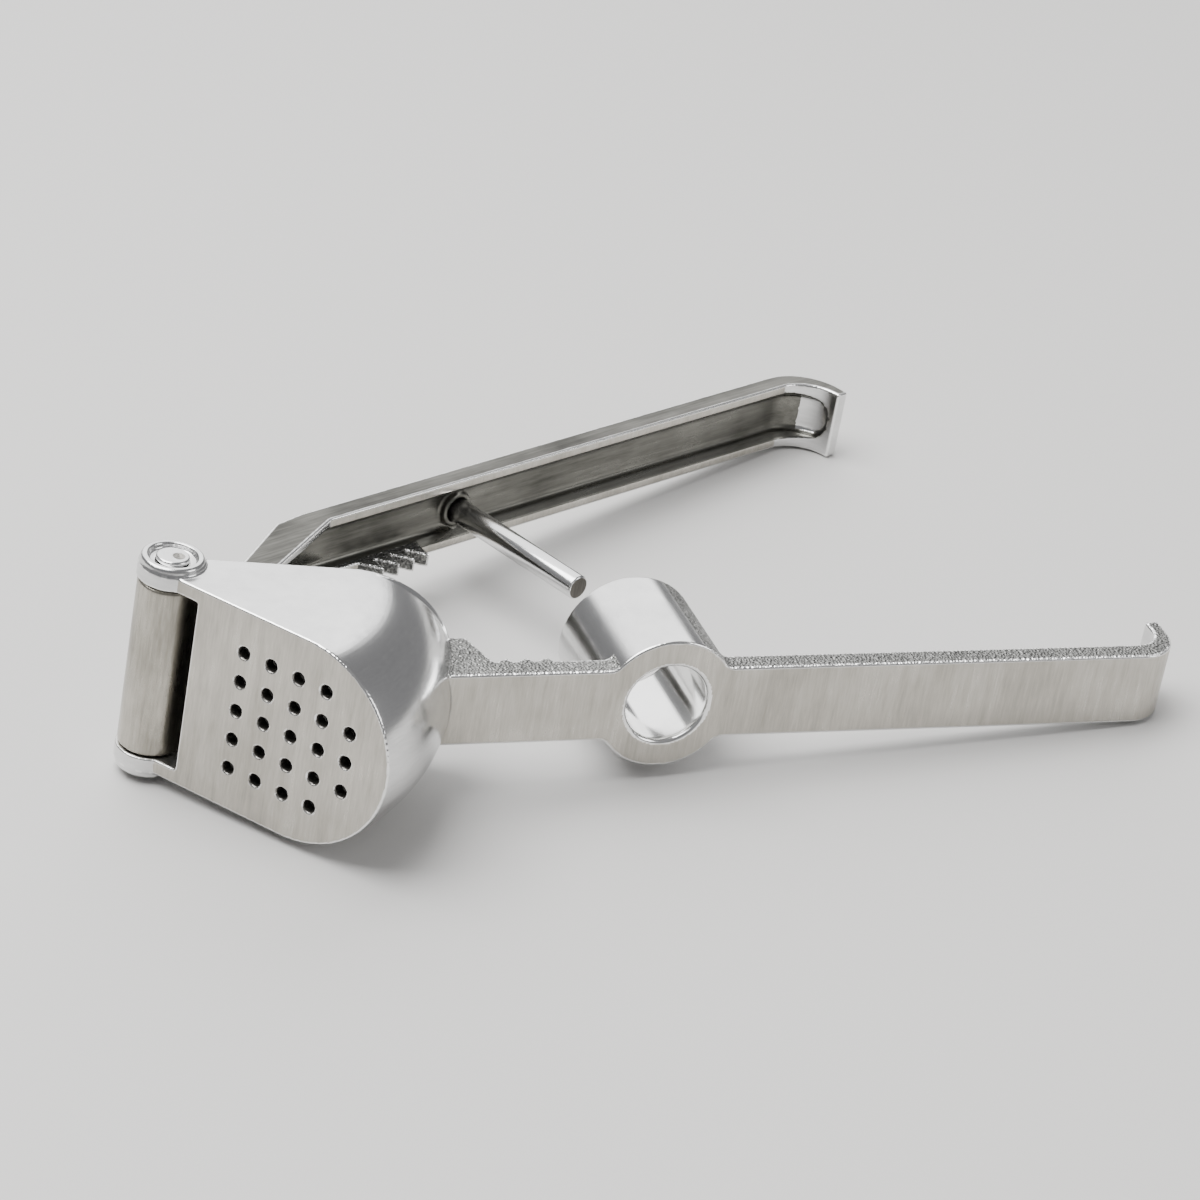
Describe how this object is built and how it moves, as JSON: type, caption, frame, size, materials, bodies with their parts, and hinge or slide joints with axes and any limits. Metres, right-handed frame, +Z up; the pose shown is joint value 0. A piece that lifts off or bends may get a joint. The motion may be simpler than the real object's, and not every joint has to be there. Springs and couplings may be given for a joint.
{
  "type": "garlic press",
  "caption": "Cast garlic press lying on its side, levers half open: sieve chamber, hinged plunger, pitting ring and pin.",
  "frame": {"origin": "middle of the bounding box in plan, at the table that the press lies on", "axes": "+Z up from the table, +X along the lower handle away from the hinge, +Y towards the upper handle; the hinge axis leans about 5 degrees from +Z because the head is deeper than the handles"},
  "size_m": [0.1612, 0.1102, 0.0355],
  "materials": {
    "cast_aluminium": "die cast, outer faces satin polished, edges left rough",
    "steel": "bright drawn rod"
  },
  "bodies": {
    "lower_lever": {"lower_lever": "cast_aluminium", "hinge_pin": "steel"},
    "upper_lever": {"upper_lever": "cast_aluminium", "pitting_pin": "steel"}
  },
  "joints": [
    {"name": "hinge_turn", "type": "hinge", "parent": "lower_lever", "child": "upper_lever", "pos_m": [-0.07447, -0.02063, 0.01798], "axis": [0.0792, 0.0232, 0.9966], "range_deg": [-25.2, 205]}
  ]
}
